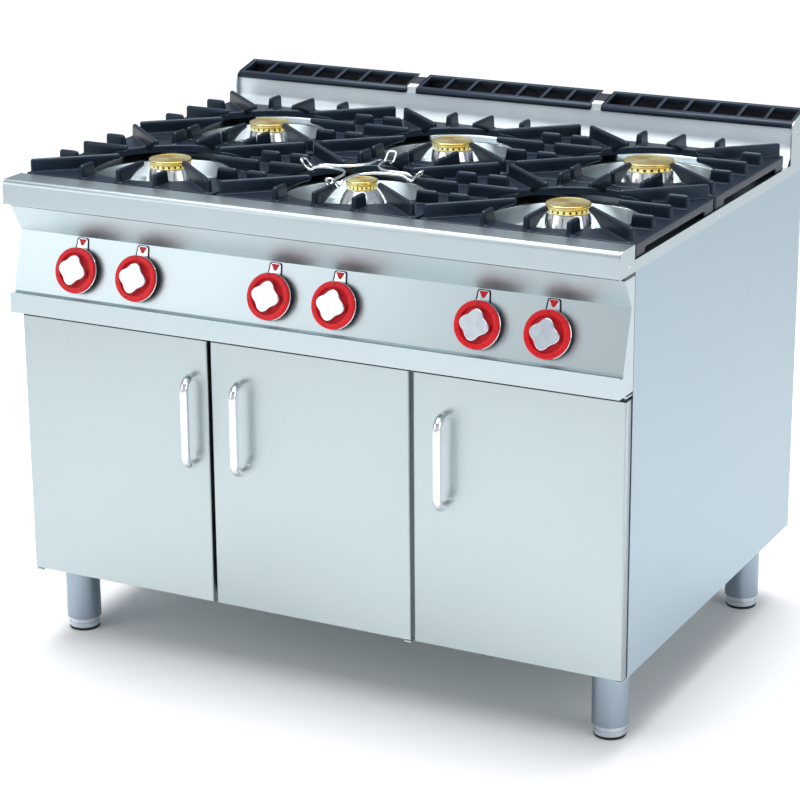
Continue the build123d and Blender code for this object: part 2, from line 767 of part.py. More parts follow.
# ================================================================ doors
handle_x = [door_edges[0][1] - handle_insets[0], door_edges[1][0] + handle_insets[1],
            door_edges[2][0] + handle_insets[2]]
for number, ((left, right), hinge_x, grip_x) in enumerate(zip(door_edges, pin_x, handle_x), 1):
    with BuildPart() as door_skin:
        block(left, right, door_front, door_back, door_bottom, door_top)
        fillet(door_skin.faces().sort_by(Axis.Y)[0].edges(), radius=door_edge_round)
        offset(amount=-door_sheet, openings=door_skin.faces().sort_by(Axis.Y)[-1])
        with BuildSketch(Plane.XY.offset(door_bottom)):
            with Locations((hinge_x, pin_y)):
                Circle(pin_radius + running_clearance)
        extrude(amount=door_top - door_bottom, mode=Mode.SUBTRACT)
    save(door_skin.part, f"door_skin_{number}")

    with BuildPart() as door_liner:
        inset = door_sheet + weld_gap
        liner_back = door_back - door_sheet
        block(left + inset, right - inset, liner_back - door_sheet, liner_back,
              door_bottom + inset, door_top - inset)
        for z0 in (door_bottom + inset, door_top - inset - hinge_block_height):
            block(hinge_x - hinge_block_half, hinge_x + hinge_block_half, pin_y - hinge_block_half,
                  liner_back - door_sheet / 2, z0, z0 + hinge_block_height)
        with BuildSketch(Plane.XY.offset(door_bottom)):
            with Locations((hinge_x, pin_y)):
                Circle(pin_radius + running_clearance)
        extrude(amount=door_top - door_bottom, mode=Mode.SUBTRACT)
    save(door_liner.part, f"door_liner_{number}")

    with BuildPart() as door_handle:
        with BuildLine(Plane.YZ.offset(grip_x)) as handle_path:
            FilletPolyline((door_front, handle_bottom), (door_front - handle_reach, handle_bottom),
                           (door_front - handle_reach, handle_top), (door_front, handle_top), radius=handle_bend)
        with BuildSketch(Plane(origin=handle_path.line @ 0, z_dir=handle_path.line % 0)):
            Circle(handle_radius)
        sweep(path=handle_path.line)
    save(door_handle.part, f"door_handle_{number}")

with BuildPart() as hinge_pins:
    for x in pin_x:
        for z0, z1 in ((cabinet_bottom - 3, door_bottom + pin_grip), (door_top - pin_grip, cupboard_top)):
            with BuildSketch(Plane.XY.offset(z0)):
                with Locations((x, pin_y)):
                    Circle(pin_radius)
            extrude(amount=z1 - z0)
save(hinge_pins.part, "hinge_pins")

# ================================================================ screws
with BuildPart() as screws:
    for s in (-1, 1):
        for y, z in screw_places:
            with BuildSketch(Plane.YZ.offset(s * (half_width - side_sheet))):
                with Locations((y, z)):
                    Circle(screw_radius)
            extrude(amount=s * side_sheet)
save(screws.part, "screws")
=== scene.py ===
"""Looks of a commercial gas range with six open burners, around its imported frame.

Metres, +Z up.  The front of the range faces -Y and X runs along it from left to right.
"""
import json
from contextlib import contextmanager
from math import atan2, cos, degrees, hypot, pi, radians, sin

import bmesh
import bpy
from mathutils import Matrix, Vector


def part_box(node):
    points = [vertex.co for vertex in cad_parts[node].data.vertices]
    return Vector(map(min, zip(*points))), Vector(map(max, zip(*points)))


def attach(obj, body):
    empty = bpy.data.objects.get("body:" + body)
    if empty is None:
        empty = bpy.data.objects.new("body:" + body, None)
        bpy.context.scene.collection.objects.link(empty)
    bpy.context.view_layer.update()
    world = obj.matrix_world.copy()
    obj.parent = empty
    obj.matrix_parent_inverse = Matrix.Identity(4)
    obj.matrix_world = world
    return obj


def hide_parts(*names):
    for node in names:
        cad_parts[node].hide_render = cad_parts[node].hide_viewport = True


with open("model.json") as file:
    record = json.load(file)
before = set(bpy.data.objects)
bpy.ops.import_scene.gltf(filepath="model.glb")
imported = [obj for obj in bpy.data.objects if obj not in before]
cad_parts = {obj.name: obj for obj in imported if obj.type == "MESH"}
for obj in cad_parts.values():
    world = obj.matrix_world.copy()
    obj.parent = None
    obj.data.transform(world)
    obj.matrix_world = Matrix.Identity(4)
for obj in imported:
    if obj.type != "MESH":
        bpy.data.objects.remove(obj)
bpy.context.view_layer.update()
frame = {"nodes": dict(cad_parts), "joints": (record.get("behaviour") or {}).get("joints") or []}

BURNER_ROW = -0.2015
BURNER_PITCH = 0.400
ROW_PITCH = 0.366
NOSE_BOTTOM = 0.854
SPLASH_FOOT, SPLASH_CLEAR = 0.352, 0.376
FLUE_FRONT_WALL = 0.0138
FLUE_BACK_WALL = 0.0008
FLUE_CLEAN_RIM = 0.0035

STAINLESS_TINT = (0.437, 0.505, 0.525, 1)
# Paler colour of the painted light on the splashback.
SPLASH_PAINTED_LIGHT_TINT = (0.72, 0.79, 0.84, 1)
# Near-black for soot in the flue, also used for painted shadow under overhangs.
SOOT_AND_SHADOW_TINT = (0.012, 0.012, 0.016, 1)
GRAIN_ALONG, GRAIN_ACROSS = 4, 1300


# ------------------------------------------------------------------ materials
class Wire:
    """An output of a node tree that is used in sums as a number is."""

    def __init__(self, nodes, socket):
        self.nodes = nodes
        self.socket = socket

    def _maths(self, operation, left, right):
        return self.nodes.node("Math", {"operation": operation}, {0: left, 1: right})

    def __add__(self, other):
        return self._maths("ADD", self, other)

    def __radd__(self, other):
        return self._maths("ADD", other, self)

    def __sub__(self, other):
        return self._maths("SUBTRACT", self, other)

    def __rsub__(self, other):
        return self._maths("SUBTRACT", other, self)

    def __mul__(self, other):
        return self._maths("MULTIPLY", self, other)

    def __rmul__(self, other):
        return self._maths("MULTIPLY", other, self)

    def __truediv__(self, other):
        return self._maths("DIVIDE", self, other)

    def __pow__(self, other):
        return self._maths("POWER", self, other)

    def __gt__(self, other):
        return self._maths("GREATER_THAN", self, other)

    def __lt__(self, other):
        return self._maths("LESS_THAN", self, other)


class Nodes:
    """A node tree under construction."""

    def __init__(self, tree):
        self.tree = tree

    def node(self, kind, settings=None, inputs=None, out=0):
        """Add a node with its settings, then its inputs as values or wires; give one output."""
        node = self.tree.nodes.new(f"ShaderNode{kind}")
        for name, value in (settings or {}).items():
            setattr(node, name, value)
        for name, value in (inputs or {}).items():
            self.feed(node.inputs[name], value)
        return Wire(self, node.outputs[out])

    def feed(self, socket, value):
        if isinstance(value, Wire):
            self.tree.links.new(value.socket, socket)
        else:
            socket.default_value = value

    def part(self, vector, axis):
        """One axis of a vector."""
        return self.node("SeparateXYZ", {}, {"Vector": vector}, out=axis)

    def share(self, value, low, high, top=1.0):
        """How far a value has come from low to high, as a share of the top."""
        return self.node("MapRange", {}, {"Value": value, "From Min": low, "From Max": high,
                                          "To Max": top})

    def between(self, factor, first, second):
        """One colour turning into another."""
        colours = {"Factor": factor, 6: first, 7: second}
        return self.node("Mix", {"data_type": "RGBA"}, colours, out=2)


class Finish(Nodes):
    """A material under construction, with its one surface shader."""

    def __init__(self, name, **constants):
        self.material = bpy.data.materials.new(name)
        self.material.use_nodes = True
        super().__init__(self.material.node_tree)
        self.shader = self.tree.nodes["Principled BSDF"]
        self.set(**constants)

    def set(self, **sockets):
        """Feed sockets of the surface shader."""
        for name, value in sockets.items():
            self.feed(self.shader.inputs[name.replace("_", " ")], value)

    def place(self, scale=(1, 1, 1)):
        """Object coordinates, stretched."""
        where = self.node("TexCoord", out="Object")
        return self.node("Mapping", {}, {"Vector": where, "Scale": scale})

    def noise(self, vector, scale, detail=3.0, rough=0.5):
        return self.node("TexNoise", {}, {"Vector": vector, "Scale": scale, "Detail": detail,
                                          "Roughness": rough})

    def bump(self, height, strength, distance):
        return self.node("Bump", {}, {"Height": height, "Strength": strength,
                                      "Distance": distance})


def grey(value):
    return (value, value, value, 1.0)


def shaded(colour, share):
    """A colour made darker or lighter."""
    return tuple(min(1.0, share * c) for c in colour[:3]) + (1,)


def brushed_stainless(name, along, tint=STAINLESS_TINT, rough=0.34, shade=None, extra=None,
                      **constants):
    """Stainless sheet with a fine grain along one axis and faint cloudy smears.

    A shade gives the share of soot (in the flue) and of painted shadow (under an overhang) at each
    place, and an extra alters the finish, as with the painted light on the splashback.
    """
    finish = Finish(name, **{"Metallic": 1.0, **constants})
    stretch = [GRAIN_ALONG if axis == along else GRAIN_ACROSS for axis in "xyz"]
    grain = finish.noise(finish.place(stretch), 1.0, 2.0, 0.6)
    cloud = finish.noise(finish.place(), 2.2, 2.0, 0.5)
    colour = finish.between(grain * 0.35 + cloud * 0.65, shaded(tint, 0.94), shaded(tint, 1.06))
    if shade:
        # Soot, and painted shadow under overhangs, darken the colour here.
        colour = finish.between(shade(finish), colour, SOOT_AND_SHADOW_TINT)
    finish.set(Base_Color=colour, Roughness=(grain - 0.5) * 0.08 + (cloud - 0.5) * 0.10 + rough,
               Normal=finish.bump(grain, 0.014, 0.001))
    if extra:
        extra(finish)
    return finish.material


def flue_soot(finish):
    """Full inside the flue housing, nothing on its outer skin."""
    low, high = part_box("flue_housing")
    depth, height = (finish.part(finish.place(), axis) for axis in "YZ")
    return ((depth > low.y + FLUE_FRONT_WALL) * (depth < high.y - FLUE_BACK_WALL)
            * (height < high.z - FLUE_CLEAN_RIM))


def painted_bright_splashback(finish):
    """Painted light up the back of the hob: the splashback is painted brighter than the deck, and
    made less of a mirror.
    """
    share = finish.share(finish.part(finish.place(), "Y"), SPLASH_FOOT, SPLASH_CLEAR)
    colour = Wire(finish, finish.shader.inputs["Base Color"].links[0].from_socket)
    finish.set(Base_Color=finish.between(share, colour, SPLASH_PAINTED_LIGHT_TINT), Metallic=share * -0.75 + 1)


def painted_overhang_shadow(level):
    """Painted shadow: a fine dark band where a sheet runs up under the overhang above it."""
    def shade(finish):
        height = finish.part(finish.place(), "Z")
        return finish.share(height, level - 0.0006, level + 0.0002, 0.93)
    return shade


def cast_iron(name):
    """Satin blue-black enamelled iron with a fine sandy skin."""
    finish = Finish(name, Metallic=0.0, Specular_IOR_Level=0.42, Specular_Tint=(0.60, 0.82, 1.0, 1))
    sand = finish.noise(finish.place(), 420.0, 4.0, 0.65)
    blotch = finish.noise(finish.place(), 14.0, 3.0, 0.6)
    finish.set(Base_Color=finish.between(blotch, (0.0035, 0.0055, 0.0115, 1),
                                         (0.0075, 0.0125, 0.0240, 1)),
               Roughness=0.28 + blotch * 0.12 + sand * 0.06,
               Normal=finish.bump(sand, 0.10, 0.0010))
    return finish.material


def bright_chrome(name, rough=0.06):
    """Polished plating with the faintest haze."""
    finish = Finish(name, Metallic=1.0)
    haze = finish.noise(finish.place(), 35.0, 3.0, 0.6)
    finish.set(Base_Color=finish.between(haze, (0.80, 0.82, 0.84, 1), (0.90, 0.91, 0.92, 1)),
               Roughness=rough + haze * 0.05)
    return finish.material


def plain_metal(name, colour, rough):
    """Plated steel or brass for the pieces inside."""
    finish = Finish(name, Metallic=1.0)
    wear = finish.noise(finish.place(), 60.0, 4.0, 0.6)
    finish.set(Base_Color=finish.between(wear, shaded(colour, 0.8), colour),
               Roughness=rough + (wear - 0.5) * 0.2)
    return finish.material


def turned_brass(name):
    """Brass with fine turning marks about each burner's own axis, and a painted two-lobed highlight
    on each cap.
    """
    finish = Finish(name, Metallic=1.0)

    def from_axis(axis, first, pitch):
        """How far each place lies from the nearest burner's axis."""
        along = finish.part(finish.place(), axis) - first
        nearest = finish.node("Math", {"operation": "ROUND"}, {0: along * (1 / pitch)})
        return along - nearest * pitch

    local_x = from_axis("X", 0.0, BURNER_PITCH)
    local_y = from_axis("Y", BURNER_ROW, ROW_PITCH)
    radius = (local_x * local_x + local_y * local_y) ** 0.5
    marks = finish.node("TexNoise", {"noise_dimensions": "1D"},
                        {"W": radius, "Scale": 2600.0, "Detail": 2.0})
    heading = finish.node("Math", {"operation": "ARCTAN2"}, {0: local_y, 1: local_x})
    # Painted highlight: two bright lobes across each cap, in place of the sheen of turned brass.
    painted_highlight = finish.node("Math", {"operation": "COSINE"}, {0: heading * 2 - 1.9})
    finish.set(Base_Color=finish.between(painted_highlight * 0.5 + 0.5, (0.66, 0.45, 0.11, 1),
                                         (1.0, 0.86, 0.42, 1)),
               Roughness=0.30 + (marks - 0.5) * 0.2, Normal=finish.bump(marks, 0.25, 0.0006))
    return finish.material


def knob_plastic(name, colour, rough):
    """Moulded gloss plastic with a slight orange-peel skin."""
    finish = Finish(name, Metallic=0.0, Coat_Roughness=0.08, Coat_Weight=0.08,
                    Specular_IOR_Level=0.25)
    skin = finish.noise(finish.place(), 260.0, 2.0, 0.5)
    tone = finish.noise(finish.place(), 30.0, 2.0, 0.5)
    finish.set(Base_Color=finish.between(tone, shaded(colour, 0.86), colour),
               Roughness=rough + (skin - 0.5) * 0.1, Normal=finish.bump(skin, 0.05, 0.0004))
    return finish.material


STEEL_X = brushed_stainless("stainless_grain_along_x", "x")
STEEL_Y = brushed_stainless("stainless_grain_along_y", "y", (0.355, 0.445, 0.495, 1))
STEEL_Z = brushed_stainless("stainless_grain_upright", "z")
STEEL_FLUE = brushed_stainless("flue_stainless", "x", (0.78, 0.84, 0.89, 1), 0.44, flue_soot,
                               Metallic=0.3)
# The brighter splashback on the hob is painted light.
STEEL_HOB = brushed_stainless("hob_stainless", "x", extra=painted_bright_splashback)
# The dark band at the panel's top is painted shadow under the hob's nose.
STEEL_PANEL = brushed_stainless("panel_stainless", "x", (0.490, 0.563, 0.585, 1), 0.34,
                                painted_overhang_shadow(NOSE_BOTTOM - 0.0062))
# The dark band at each door's top is painted shadow under the panel's lip.
STEEL_DOOR = brushed_stainless("door_stainless", "z", (0.445, 0.510, 0.520, 1), 0.34,
                               painted_overhang_shadow(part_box("door_skin_1")[1].z - 0.0022))
# The legs' darker tint is painted shade: they stand in the shadow under the range.
STEEL_LEG_PAINTED_SHADE = brushed_stainless("leg_stainless", "z", (0.30, 0.36, 0.42, 1), 0.30)
IRON = cast_iron("enamelled_cast_iron")
CHROME = bright_chrome("polished_chrome")
BRASS = plain_metal("brass_fittings", (0.72, 0.55, 0.24, 1), 0.3)
BRASS_TURNED = turned_brass("turned_brass")
SATIN = plain_metal("satin_chrome", (0.70, 0.76, 0.82, 1), 0.22)
BELL = bright_chrome("polished_bell", 0.15)
RED = knob_plastic("red_dial", (0.66, 0.004, 0.010, 1), 0.34)
BLACK = knob_plastic("black_moulding", (0.012, 0.014, 0.02, 1), 0.3)
RUBBER = knob_plastic("black_rubber", (0.02, 0.02, 0.02, 1), 0.7)

# What each carried-over node wears, by the start of its name; the first that fits is taken.
WORN = (
    (("grate", "flue_grille"), IRON),
    (("burner_cap",), BRASS),
    (("knob",), RED),
    (("door_handle", "trivet", "index", "burner_bodies"), CHROME),
    (("side_panel", "partition"), STEEL_Y),
    (("door_skin",), STEEL_DOOR),
    (("leg",), STEEL_LEG_PAINTED_SHADE),
    (("door",), STEEL_Z),
    (("hob_top",), STEEL_HOB),
    (("flue_housing",), STEEL_FLUE),
    (("control_panel",), STEEL_PANEL),
    (("",), STEEL_X),
)
for node in frame["nodes"].values():
    node.data.materials.clear()
    node.data.materials.append(next(worn for starts, worn in WORN if node.name.startswith(starts)))


# ------------------------------------------------------------------ bench tools
def only(*pieces):
    """Select these pieces alone, with the first one active."""
    bpy.ops.object.select_all(action="DESELECT")
    for piece in pieces:
        piece.select_set(True)
    bpy.context.view_layer.objects.active = pieces[0]


@contextmanager
def editing(piece):
    """Edit mode on this piece alone."""
    only(piece)
    bpy.ops.object.mode_set(mode="EDIT")
    yield
    bpy.ops.object.mode_set(mode="OBJECT")


def pick(kind, test):
    """In edit mode, select the faces, edges or vertices whose place passes the test."""
    mesh = bmesh.from_edit_mesh(bpy.context.edit_object.data)
    bpy.ops.mesh.select_mode(type={"faces": "FACE", "edges": "EDGE", "verts": "VERT"}[kind])
    bpy.ops.mesh.select_all(action="DESELECT")
    for item in getattr(mesh, kind):
        if kind == "faces":
            chosen = test(item.calc_center_median(), item.normal)
        elif kind == "edges":
            first, second = (vertex.co for vertex in item.verts)
            chosen = test((first + second) / 2, second - first)
        else:
            chosen = test(item.co)
        item.select_set(bool(chosen))
    mesh.select_flush_mode()
    bmesh.update_edit_mesh(bpy.context.edit_object.data)


def extrude(x, y, z):
    """In edit mode, push the selected faces out."""
    bpy.ops.mesh.extrude_region_move(TRANSFORM_OT_translate={"value": (x, y, z)})


def shift(x, y, z):
    """In edit mode, move what is selected."""
    bpy.ops.transform.translate(value=(x, y, z))


def resize(x, y, z, about=(0, 0, 0)):
    """In edit mode, stretch or shrink what is selected about a point."""
    bpy.ops.transform.resize(value=(x, y, z), center_override=about)


def modify(piece, kind, **settings):
    """Add a modifier and apply it at once."""
    only(piece)
    change = piece.modifiers.new(kind.lower(), kind)
    for name, value in settings.items():
        setattr(change, name, value)
    bpy.ops.object.modifier_apply(modifier=change.name)


def ease_edges(piece, width, segments=3, angle=30):
    """Round every sharp edge a little."""
    modify(piece, "BEVEL", width=width, segments=segments, limit_method="ANGLE",
           angle_limit=radians(angle), harden_normals=False)


def settle(piece, move=(0, 0, 0), turn=(0, 0, 0)):
    """Turn a piece about the origin, move it, and keep its place in its mesh."""
    only(piece)
    piece.rotation_euler = turn
    piece.location = move
    bpy.ops.object.transform_apply(location=True, rotation=True, scale=True)


def close_up(piece, angle=35):
    """Merge doubles, turn the faces outwards and shade the round stretches smooth."""
    with editing(piece):
        bpy.ops.mesh.select_all(action="SELECT")
        bpy.ops.mesh.remove_doubles(threshold=0.00001)
        bpy.ops.mesh.normals_make_consistent(inside=False)
    only(piece)
    bpy.ops.object.shade_smooth_by_angle(angle=radians(angle))


def start(name):
    """Name the piece that was made last."""
    piece = bpy.context.active_object
    piece.name = name
    piece.data.name = name
    return piece


def slab(name, low, high):
    """A cube between two corners, to shape further."""
    bpy.ops.object.select_all(action="DESELECT")
    middle = (Vector(low) + Vector(high)) / 2
    bpy.ops.mesh.primitive_cube_add(size=1, location=middle, scale=Vector(high) - Vector(low))
    bpy.ops.object.transform_apply(location=True, rotation=True, scale=True)
    return start(name)


def disc(name, radius, steps, spot=(0, 0, 0), turn=(0, 0, 0)):
    """A filled circle, to push out into a solid."""
    bpy.ops.object.select_all(action="DESELECT")
    bpy.ops.mesh.primitive_circle_add(vertices=steps, radius=radius, fill_type="NGON",
                                      location=spot, rotation=turn)
    bpy.ops.object.transform_apply(location=True, rotation=True, scale=True)
    return start(name)


def turned(name, rings, steps=64):
    """A solid of revolution, raised ring by ring from its underside: (radius, height) pairs."""
    radius, height = rings[0]
    piece = disc(name, radius, steps, (0, 0, height))
    with editing(piece):
        bpy.ops.mesh.select_all(action="SELECT")
        for wider, higher in rings[1:]:
            extrude(0, 0, higher - height)
            resize(wider / radius, wider / radius, 1)
            radius, height = wider, higher
    close_up(piece)
    return piece


def copy_of(piece, name):
    """A copy with a mesh of its own."""
    twin = piece.copy()
    twin.data = piece.data.copy()
    twin.name = twin.data.name = name
    bpy.context.collection.objects.link(twin)
    return twin


def join(name, *pieces):
    only(*pieces)
    bpy.ops.object.join()
    return start(name)


def discard(*pieces):
    for piece in pieces:
        bpy.data.objects.remove(piece)


def cut(piece, cutter):
    """Take a cutter's shape out of a piece."""
    modify(piece, "BOOLEAN", operation="DIFFERENCE", object=cutter, solver="EXACT")
    discard(cutter)


def fit_out(piece, body, slot, material, *nodes):
    """Finish a piece: its material, the body that carries it and the nodes it shows; the slot is
    not used.
    """
    if material:
        piece.data.materials.clear()
        piece.data.materials.append(material)
    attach(piece, body)
    if nodes:
        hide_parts(*nodes)


def put(pattern, suffix, spot, body, slot, material, node, turn=(0, 0, 0)):
    """Copy a pattern to its place and finish it there."""
    piece = copy_of(pattern, f"{pattern.name.split('.')[0]}_{suffix}")
    settle(piece, spot, turn)
    fit_out(piece, body, slot, material, node)


def middle_of(node):
    low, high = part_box(node)
    return (low + high) / 2


def under(node):
    """The spot on the floor under a node's middle."""
    spot = middle_of(node)
    return (spot.x, spot.y, 0)


# ------------------------------------------------------------------ knobs
BURNERS = range(1, 7)
joint_named = {joint["name"]: joint for joint in frame["joints"]}
panel_normal = Vector(joint_named["tap_1_turn"]["axis"]).normalized()
if panel_normal.y > 0:
    panel_normal = -panel_normal
PANEL_TURN = (atan2(-panel_normal.y, panel_normal.z), 0, 0)
KNOB_Z = 0.738
KNOB_STEPS = 72
DIAL_RING = 0.0366
PANEL_FOLD = Vector((0, -0.3985, 0.797))


def knob_centre(number):
    """The point where a knob's axis meets the panel."""
    x = middle_of(f"knob_{number}").x
    run = (PANEL_FOLD.z - KNOB_Z) * abs(panel_normal.z / panel_normal.y)
    return Vector((x, PANEL_FOLD.y - run, KNOB_Z))


def knob_skirt():
    """Black moulded skirt that turns against the panel."""
    return turned("knob_skirt", [
        (0.0375, 0.0056), (0.0398, 0.0060), (0.0408, 0.0070), (0.0404, 0.0100),
        (0.0320, 0.0100)], KNOB_STEPS)


def knob_rim():
    """Bright plated band between the skirt and the dial."""
    return turned("knob_rim", [
        (0.0395, 0.0098), (0.0414, 0.0099), (0.0420, 0.0104), (0.0420, 0.0113),
        (0.0414, 0.0119), (0.0390, 0.0120)], KNOB_STEPS)


def knob_dial():
    """Red dial: a rounded ring around a sunk floor."""
    return turned("knob_dial", [
        (0.0395, 0.0118), (0.0414, 0.0120), (0.0414, 0.0165), (0.0411, 0.0176),
        (0.0403, 0.0183), (0.0393, 0.0185), (0.0326, 0.0185), (0.0317, 0.0182),
        (0.0312, 0.0174), (0.0306, 0.0140), (0.0290, 0.0136), (0.0100, 0.0136)], KNOB_STEPS)


def knob_marks():
    """Small black setting marks on the dial's ring, the one at the top longer."""
    marks = []
    for heading in (90, 40, -10, -60, -110, -160):
        half = 0.0029 if heading == 90 else 0.0020
        mark = slab("mark", (DIAL_RING - half, -0.0007, 0.0183), (DIAL_RING + half, 0.0007, 0.0187))
        ease_edges(mark, 0.0002, 2)
        settle(mark, turn=(0, 0, radians(heading)))
        marks.append(mark)
    return join("knob_marks", *marks)


def knob_grip():
    """Plated grip with four lobes and hollow flanks."""
    waist, corner, foot = 0.0222, 0.0285, 0.0135
    grip = disc("knob_grip", 1, 96)
    for vertex in grip.data.vertices:
        heading = atan2(vertex.co.y, vertex.co.x)
        lobe = ((1 - cos(4 * heading)) / 2) ** 0.9
        vertex.co = vertex.co.normalized() * (waist + (corner - waist) * lobe)
        vertex.co.z = foot
    with editing(grip):
        bpy.ops.mesh.select_all(action="SELECT")
        for rise, shrink in ((0.0108, 0.985), (0.0026, 0.985), (0.0010, 0.975), (0.0004, 0.970)):
            extrude(0, 0, rise)
            resize(shrink, shrink, 1)
    close_up(grip, 25)
    settle(grip, turn=(0, 0, radians(35)))
    return grip


def index_plate():
    """Arch above a knob: a dark plate, a bright face on it and a red pointer field."""
    middle = 0.046
    foot, head = (0.0150, 0.0325), (0.0120, 0.0600)
    bpy.ops.object.select_all(action="DESELECT")
    bpy.ops.mesh.primitive_plane_add(size=1, location=(0, middle, 0.0001))
    bpy.ops.object.transform_apply(location=True)
    plate = start("index_plate")
    for vertex in plate.data.vertices:
        half_width, height = head if vertex.co.y > middle else foot
        vertex.co.x = half_width if vertex.co.x > 0 else -half_width
        vertex.co.y = height
    with editing(plate):
        pick("verts", lambda co: co.y > middle)
        bpy.ops.mesh.bevel(offset=0.004, segments=5, affect="VERTICES")
        bpy.ops.mesh.select_mode(type="FACE")
        bpy.ops.mesh.select_all(action="SELECT")
        extrude(0, 0, 0.0010)
    face = copy_of(plate, "index_face")
    with editing(face):
        bpy.ops.mesh.select_all(action="SELECT")
        resize(0.80, 0.90, 1, (0, 0.0450, 0))
        shift(0, 0, 0.0004)
    for moulding in (plate, face):
        close_up(moulding, 30)
        ease_edges(moulding, 0.0003, 2)
    field = slab("index_field", (-0.0088, 0.0455, 0.0010), (0.0088, 0.0572, 0.0019))
    with editing(field):
        pick("verts", lambda co: co.y < 0.053)
        resize(0.25, 1, 1)
    ease_edges(field, 0.0003, 2)
    return plate, face, field


def fit_knobs():
    knob = ((knob_skirt(), "knob_black", BLACK), (knob_rim(), "bright_chrome", CHROME),
            (knob_dial(), "knob_red", RED), (knob_marks(), "knob_black", BLACK),
            (knob_grip(), "bright_chrome", SATIN))
    plate = tuple(zip(index_plate(), ("knob_black", "bright_chrome", "knob_red"),
                      (BLACK, SATIN, RED)))
    for number in BURNERS:
        centre, node = knob_centre(number), f"knob_{number}"
        for pattern, slot, material in knob:
            put(pattern, number, centre, node, slot, material, node, PANEL_TURN)
        for pattern, slot, material in plate:
            put(pattern, number, centre, "cabinet", slot, material, "index_plates", PANEL_TURN)
    discard(*(pattern for pattern, _, _ in knob + plate))


# ------------------------------------------------------------------ burners
PORTS = 22
PORT_FOOT, PORT_HEAD = 0.8952, 0.9010


def burner_cap(radius):
    """Brass cap: a turned lid over a crown pierced with flame ports."""
    cap = turned("burner_cap", [
        (radius - 0.0035, 0.8932), (radius - 0.0012, 0.8934), (radius - 0.0008, 0.8950),
        (radius - 0.0008, 0.9012), (radius - 0.0016, 0.9020), (radius - 0.0012, 0.9028),
        (radius - 0.0002, 0.9034), (radius, 0.9046), (radius, 0.9070), (radius - 0.0006, 0.9082),
        (radius - 0.0020, 0.9088), (radius - 0.0034, 0.9089), (radius - 0.0042, 0.9085),
        (radius * 0.6, 0.9087), (0.006, 0.9089)], 2 * PORTS)
    with editing(cap):
        pick("faces", lambda co, normal: PORT_FOOT < co.z < PORT_HEAD
             and int((degrees(atan2(co.y, co.x)) % 360) / (180 / PORTS)) % 2 == 0)
        bpy.ops.mesh.inset(thickness=0.0008, depth=0, use_individual=True)
        bpy.ops.mesh.inset(thickness=0.0001, depth=-0.0024, use_individual=True)
    return cap


def burner_ports(radius):
    """Painted shade: a dark iron ring seen through the ports, for the unlit gas space behind them.
    """
    return turned("burner_ports", [(radius - 0.0022, 0.8948), (radius - 0.0022, 0.9014)], 64)


def burner_bell(radius):
    """Polished bell that carries the cap above the bowl, with its gas pipe below."""
    rim = radius - 0.0028
    foot = max(0.0500, rim + 0.0115)
    return turned("burner_bell", [
        (0.0200, 0.8058), (0.0200, 0.8475), (foot, 0.8475), (foot + 0.0004, 0.8482),
        (foot - 0.0004, 0.8500),
        (rim + (foot - rim) * 0.80, 0.8600), (rim + (foot - rim) * 0.55, 0.8720),
        (rim + (foot - rim) * 0.28, 0.8830), (rim + 0.0012, 0.8905), (rim + 0.0002, 0.8925),
        (rim - 0.0020, 0.8930), (0.0150, 0.8930)], 96)


def fit_burners():
    patterns = {}
    for number in BURNERS:
        node, suffix = f"burner_cap_{number}", f"{number}_shown"
        spot = under(node)
        low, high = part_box(node)
        radius = round((high.x - low.x) / 2, 4)
        if radius not in patterns:
            patterns[radius] = (burner_cap(radius), burner_bell(radius), burner_ports(radius))
        cap, bell, ports = patterns[radius]
        put(cap, suffix, spot, node, "brass", BRASS_TURNED, node)
        put(bell, suffix, spot, "cabinet", "bright_chrome", BELL, "burner_bodies")
        # The dark ring in the ports is painted shade.
        put(ports, suffix, spot, node, "cast_iron", IRON, node)
    for pattern in patterns.values():
        discard(*pattern)


# ------------------------------------------------------------------ grates
FIN_TOP = 0.924
PLATE_TOP = 0.899
FIN_WIDTH = 0.0118
OPENING = 0.150
TIP_RADIUS = 0.092
RIB_FOOT = 0.8965
RIB_SHOULDER = 0.92
RIB_DRAFT = 0.80
STUB_SIDES = (-0.078, 0.078)


def draft_flanks():
    """In edit mode, draw a rib's top in."""
    pick("verts", lambda co: co.z > RIB_SHOULDER)
    resize(1, RIB_DRAFT, 1)


def grate_fin(outer):
    """One fin along +X: drafted flanks, a rounded back and an arched underside over the opening."""
    fin = slab("fin", (TIP_RADIUS, -FIN_WIDTH / 2, RIB_FOOT), (outer, FIN_WIDTH / 2, FIN_TOP))
    arch_end = OPENING + 0.004
    run = arch_end - TIP_RADIUS
    stations = [TIP_RADIUS + run * step / 6 for step in range(1, 7)]
    with editing(fin):
        for station in stations:
            bpy.ops.mesh.select_all(action="SELECT")
            bpy.ops.mesh.bisect(plane_co=(station, 0, 0), plane_no=(1, 0, 0))
        for station in [TIP_RADIUS] + stations:
            share = (arch_end - station) / run
            pick("verts", lambda co: abs(co.x - station) < 0.0005 and co.z < 0.9)
            shift(0, 0, -0.0075 + 0.0235 * (1 - (1 - share) ** 1.7))
        draft_flanks()
    ease_edges(fin, 0.0044, 3, 40)
    return fin


def grate_stub(outer, length=0.044):
    """A short rib at the grate's edge, along +X."""
    stub = slab("stub", (outer - length, -FIN_WIDTH / 2, RIB_FOOT),
                (outer, FIN_WIDTH / 2, FIN_TOP - 0.0005))
    with editing(stub):
        draft_flanks()
        pick("verts", lambda co: co.z > RIB_SHOULDER and co.x < outer - length / 2)
        shift(0.004, 0, 0)
    ease_edges(stub, 0.0052, 4, 40)
    return stub


def around(pattern, headings, sideways=(0,)):
    """Copies of a rib, set sideways and turned about the burner."""
    ribs = []
    for heading in headings:
        for shift in sideways:
            rib = copy_of(pattern, "rib")
            settle(rib, (0, shift, 0))
            settle(rib, turn=(0, 0, radians(heading)))
            ribs.append(rib)
    discard(pattern)
    return ribs


